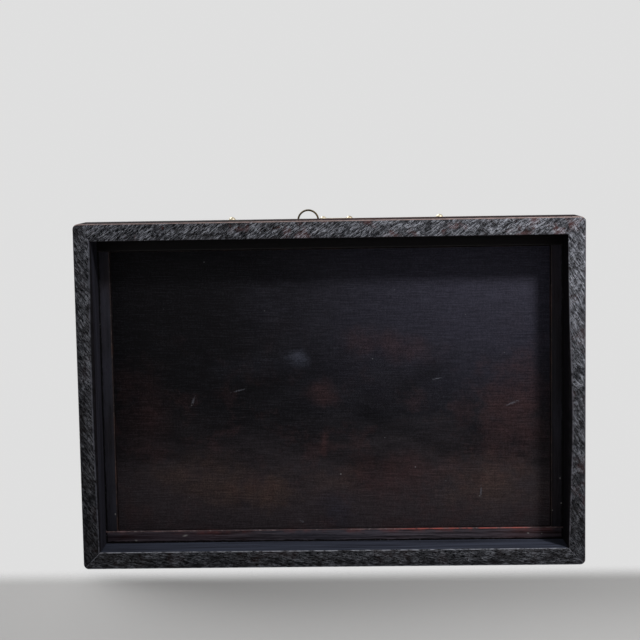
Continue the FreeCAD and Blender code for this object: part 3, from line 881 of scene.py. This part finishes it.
# Which way each board's grain runs, its finish, and how far its edges are rounded in mm
boards = {
    "case_front": ("x", "dark", 0.45),
    "case_back": ("x", "dark", 0.45),
    "case_left": ("y", "dark", 0.45),
    "case_right": ("y", "dark", 0.45),
    "lid_front": ("x", "dark", 0.45),
    "lid_back": ("x", "dark", 0.45),
    "lid_left": ("y", "dark", 0.45),
    "lid_right": ("y", "dark", 0.45),
    "lid_rail_front": ("x", "dark", 0.7),
    "lid_rail_back": ("x", "dark", 0.7),
    "lid_stile_left": ("y", "dark", 0.7),
    "lid_stile_right": ("y", "dark", 0.7),
    "lid_panel": ("x", "dark", 0.4),
    "drawer_front": ("x", "dark", 0.5),
    "drawer_side_left": ("y", "bare", 0.4),
    "drawer_side_right": ("y", "bare", 0.4),
    "drawer_back": ("x", "bare", 0.4),
    "drawer_bottom": ("x", "bare", 0.3),
    "drawer_guide_left": ("y", "bare", 0.4),
    "drawer_guide_right": ("y", "bare", 0.4),
    "compartment_floor": ("x", "bare", 0.3),
    "stone_divider": ("y", "bare", 0.6),
    "stick_divider": ("x", "bare", 0.6),
}
for node, (along, finish, width) in boards.items():
    first, *others = node.split("_")
    name = first + "".join(word.capitalize() for word in others)
    wood, edgeWood = (caseWood[along], darkEdge) if finish == "dark" else (bareWood[along], bareEdge)
    mitred = node.startswith(("case_", "lid_")) and node != "lid_panel"
    makeBoard(node, name, wood, edgeWood, width * mm, inCaseMitres if mitred else None)
print("case, drawer and lid boards made")


# Brass

plateLook = {
    "sides": 48,
    "bevel": 0.14 * mm,
    "border": 0.55 * mm,
    "dish": 0.10 * mm,
    "slope": 0.12 * mm,
    "ring": 0.8 * mm,
}
brassLook = {"leaf": 0.15 * mm, "tongue": 0.12 * mm, "tiny": 0.6 * mm}


def makeRoundPlate(node):
    # A round plate with a fine raised border, under the head of a post
    low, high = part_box(node)
    centre = (low + high) / 2
    bpy.ops.object.select_all(action="DESELECT")
    bpy.ops.mesh.primitive_cylinder_add(
        vertices=plateLook["sides"],
        radius=(high.x - low.x) / 2,
        depth=high.y - low.y,
        location=centre,
        rotation=(math.pi / 2, 0, 0),
    )
    piece = bpy.context.object
    piece.name = node.replace("_washer_", "Plate_")
    bpy.ops.object.transform_apply(location=True, rotation=True, scale=True)
    editing(piece)
    mesh = bmesh.from_edit_mesh(piece.data)
    for face in mesh.faces:
        face.select = face.normal.y < -0.9       # the face that looks to the front
    bmesh.update_edit_mesh(piece.data)
    bpy.ops.mesh.inset(thickness=plateLook["border"])
    bpy.ops.mesh.inset(thickness=plateLook["slope"], depth=-plateLook["dish"])
    bpy.ops.mesh.inset(thickness=plateLook["ring"])
    doneEditing()
    finishPiece(piece, node, [paleBrass, paleBrass], plateLook["bevel"], lambda edge: 1)


def makeBrassPiece(node, name, width):
    # The tiny edges of round parts stay sharp
    piece = startFrom(node, name)

    def share(edge):
        return 1 if edge.calc_length() > brassLook["tiny"] else 0

    finishPiece(piece, node, [paleBrass, paleBrass], width, share)


for side in ("left", "right"):
    makeRoundPlate(f"lock_washer_{side}")
    makeRoundPlate(f"pull_washer_{side}")
    makeBrassPiece(f"hinge_case_leaf_{side}", f"hingeCaseLeaf_{side}", brassLook["leaf"])
    makeBrassPiece(f"hinge_lid_leaf_{side}", f"hingeLidLeaf_{side}", brassLook["leaf"])
makeBrassPiece("hasp_plate", "haspPlate", brassLook["leaf"])
makeBrassPiece("hasp", "haspTongue", brassLook["tongue"])

for node, part in frame["nodes"].items():
    if slotOf[node] in ("brass", "dark_brass") and not part.hide_render:
        part.data.materials.clear()
        part.data.materials.append(paleBrass if slotOf[node] == "brass" else darkBrass)
print("brass made")


# Stage: the floor that the box lies on in the photograph, and one under its feet for the other views

stageLook = {
    "background": 0.74,
    "ambient": 0.22,
    "floor": (0.52, 0.515, 0.51, 1),
    "floorRib": tone(150, 148, 146),
    "ribSize": 6 * mm,
    "floorGap": 0.15 * mm,
    "backFloorTop": 1 * mm,
    "backFloorFade": 36 * mm,
    "backFloorReach": 0.9,
    "footFloorReach": 1.3,
}


def floorFinish(name, fade):
    finish, place = newFinish(name)
    ribs = place.clouds(stageLook["ribSize"], 3, 0.6)
    colour = blended(ribs * 0.05, stageLook["floor"], stageLook["floorRib"])
    facing = 1 - place.node("ShaderNodeNewGeometry", {}, {}, "Backfacing")
    surface(place, colour, 0.85, 0.0, 0.1, None, 0, Alpha=facing * fade(place))
    return finish


def makeFloor(name, low, high, axis, level, finish):
    # A flat sheet whose face looks along -Y or +Z, seen from that side only
    corners = [(low[0], low[1]), (high[0], low[1]), (high[0], high[1]), (low[0], high[1])]
    if axis == "y":
        corners = [(across, level, up) for across, up in corners]
    else:
        corners = [(across, along, level) for across, along in corners]
    mesh = bpy.data.meshes.new(name)
    mesh.from_pydata(corners, [], [(0, 1, 2, 3)])
    floor = bpy.data.objects.new(name, mesh)
    bpy.context.scene.collection.objects.link(floor)
    mesh.materials.append(finish)
    return floor


def backFloorFade(place):
    highest = stageLook["backFloorTop"]
    top = place.axis("Z").between(highest, highest - stageLook["backFloorFade"])
    return top * place.length().between(stageLook["backFloorReach"], 0.5 * stageLook["backFloorReach"])


def footFloorFade(place):
    return place.length().between(stageLook["footFloorReach"], 0.3 * stageLook["footFloorReach"])


reach = stageLook["backFloorReach"]
level = cadBox[1].y + stageLook["floorGap"]
finish = floorFinish("photoFloorFinish", backFloorFade)
makeFloor("photoFloor", (-reach, -reach), (reach, stageLook["backFloorTop"]), "y", level, finish)
reach = stageLook["footFloorReach"]
level = cadBox[0].z - stageLook["floorGap"]
finish = floorFinish("footFloorFinish", footFloorFade)
footFloor = makeFloor("footFloor", (-reach, -reach), (reach, reach), "z", level, finish)
footFloor.visible_shadow = False       # it keeps no light from the underside
footFloor.visible_diffuse = False
footFloor.visible_glossy = False

world = bpy.data.worlds.new("studio")
bpy.context.scene.world = world
world.use_nodes = True
world.node_tree.nodes.clear()
air = Strand(world.node_tree)
seen = air.node("ShaderNodeLightPath", {}, {}, "Is Camera Ray")
for ray in ("Is Glossy Ray", "Is Transmission Ray"):
    seen = seen.most(air.node("ShaderNodeLightPath", {}, {}, ray))
strength = stageLook["ambient"] + (stageLook["background"] - stageLook["ambient"]) * seen
sky = air.node("ShaderNodeBackground", {}, {"Color": (1, 1, 1, 1), "Strength": strength})
air.node("ShaderNodeOutputWorld", {}, {"Surface": sky})

lamps = {
    "key": {"at": (0.327, -0.399, -0.250), "aim": (0.02, -0.02, 0.02), "size": 0.062, "power": 1.9},
    "top": {"at": (-0.40, 0.20, 1.50), "aim": (0, 0, 0.08), "size": 1.0, "power": 22.0},
    "front": {"at": (-0.80, -1.30, 0.75), "aim": (0, 0, 0.05), "size": 0.9, "power": 14.0},
    "behind": {"at": (0.60, 1.30, 0.75), "aim": (0, 0, 0.05), "size": 0.8, "power": 15.0},
}


def makeLamp(name, look):
    light = bpy.data.lights.new(name, "AREA")
    light.shape = "DISK"
    light.size = look["size"]
    light.energy = look["power"]
    lamp = bpy.data.objects.new(name, light)
    bpy.context.scene.collection.objects.link(lamp)
    lamp.location = look["at"]
    lamp.rotation_euler = (Vector(look["at"]) - Vector(look["aim"])).to_track_quat("Z", "Y").to_euler()


for name, look in lamps.items():
    makeLamp(name, look)

cameraLook = {
    "at": Vector((18.3, -142.07, -911.3)) * mm,
    "forward": Vector((-0.02632, 0.10656, 0.99396)),
    "up": Vector((0.01399, -0.99417, 0.10696)),
    "lens": 84.94,
}
lensData = bpy.data.cameras.new("photoCamera")
lensData.sensor_fit = "HORIZONTAL"
lensData.sensor_width = 36
lensData.lens = cameraLook["lens"]
camera = bpy.data.objects.new("photoCamera", lensData)
bpy.context.scene.collection.objects.link(camera)
forward = cameraLook["forward"].normalized()
right = forward.cross(cameraLook["up"]).normalized()
upward = right.cross(forward)
turned = Matrix((right, upward, -forward)).transposed().to_4x4()
camera.matrix_world = Matrix.Translation(cameraLook["at"]) @ turned
bpy.context.scene.camera = camera
bpy.context.scene.view_settings.view_transform = "Standard"
print("stage, lamps and camera placed")
